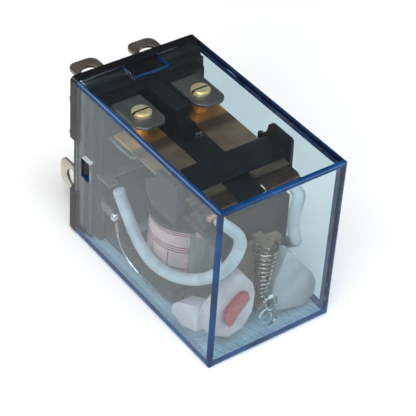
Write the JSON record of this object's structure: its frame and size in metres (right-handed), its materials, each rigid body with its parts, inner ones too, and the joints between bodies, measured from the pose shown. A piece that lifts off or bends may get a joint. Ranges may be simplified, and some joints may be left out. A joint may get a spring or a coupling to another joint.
{
  "type": "plug-in relay",
  "caption": "Small plug-in relay in a clear blue push-fit cover: coil, hinged armature, changeover contacts, indicator and flat plug blades on a black base.",
  "frame": {"origin": "centre of the base's seating face, where the plug blades come out", "axes": "+Y along the plug blades, away from the case; +Z towards the contact side; X across the relay's width"},
  "size_m": [0.0216, 0.0424, 0.028],
  "materials": {
    "clear_cover": "clear glossy, pale blue, deep blue along the edges",
    "black_base": "moulded black, fine satin grain",
    "blade_metal": "tinned, dull grey with worn edges",
    "contact_gold": "gold plated, turned",
    "spring_bronze": "satin bronze strip",
    "lead_copper": "satin pink copper",
    "winding_copper": "enamelled wire in close turns",
    "iron": "nickel washed iron, dull",
    "core_iron": "turned",
    "spring_steel": "drawn wire",
    "solder": "bright, lumpy",
    "white_lead": "soft white sleeve",
    "paper_label": "white paper with red rules",
    "clear_tape": "clear greenish tape over the winding",
    "milky_plastic": "milky translucent",
    "red_lens": "translucent red",
    "resistor_body": "lacquered, colour bands"
  },
  "bodies": {
    "case": {"cover": "clear_cover", "base": "black_base", "nc_terminal_left": "blade_metal", "nc_terminal_right": "blade_metal", "no_terminal_left": "blade_metal", "no_terminal_right": "blade_metal", "com_terminal_left": "blade_metal", "com_terminal_right": "blade_metal", "coil_terminal_left": "blade_metal", "coil_terminal_right": "blade_metal", "nc_contact_left": "contact_gold", "nc_contact_right": "contact_gold", "no_contact_left": "contact_gold", "no_contact_right": "contact_gold", "bobbin": "black_base", "coil_winding": "winding_copper", "coil_label": "paper_label", "coil_tape": "clear_tape", "coil_tape_tab": "paper_label", "core": "core_iron", "shading_ring": "lead_copper", "yoke": "iron", "spring_hook": "iron", "return_spring": "spring_steel", "lead_wire_left": "white_lead", "lead_wire_right": "white_lead", "coil_lead_left": "winding_copper", "coil_lead_right": "winding_copper", "solder_joints": "solder", "indicator_housing_left": "milky_plastic", "indicator_housing_right": "milky_plastic", "indicator_lens": "red_lens", "indicator_lamp": "red_lens", "indicator_lead": "solder", "resistor": "resistor_body"},
    "armature": {"armature": "iron", "armature_card": "black_base", "card_rivets": "core_iron", "contact_spring_left": "spring_bronze", "contact_spring_right": "spring_bronze", "moving_contact_left": "contact_gold", "moving_contact_right": "contact_gold", "lead_ferrule_left": "lead_copper", "lead_ferrule_right": "lead_copper"}
  },
  "joints": [
    {"name": "armature_hinge", "type": "hinge", "parent": "case", "child": "armature", "pos_m": [0, -0.03, -0.0006], "axis": [-1, 0, 0], "range_deg": [0, 2.4], "stiffness_Nm_per_rad": 0.002, "springref_deg": -17.19, "deforming": ["return_spring"]}
  ]
}
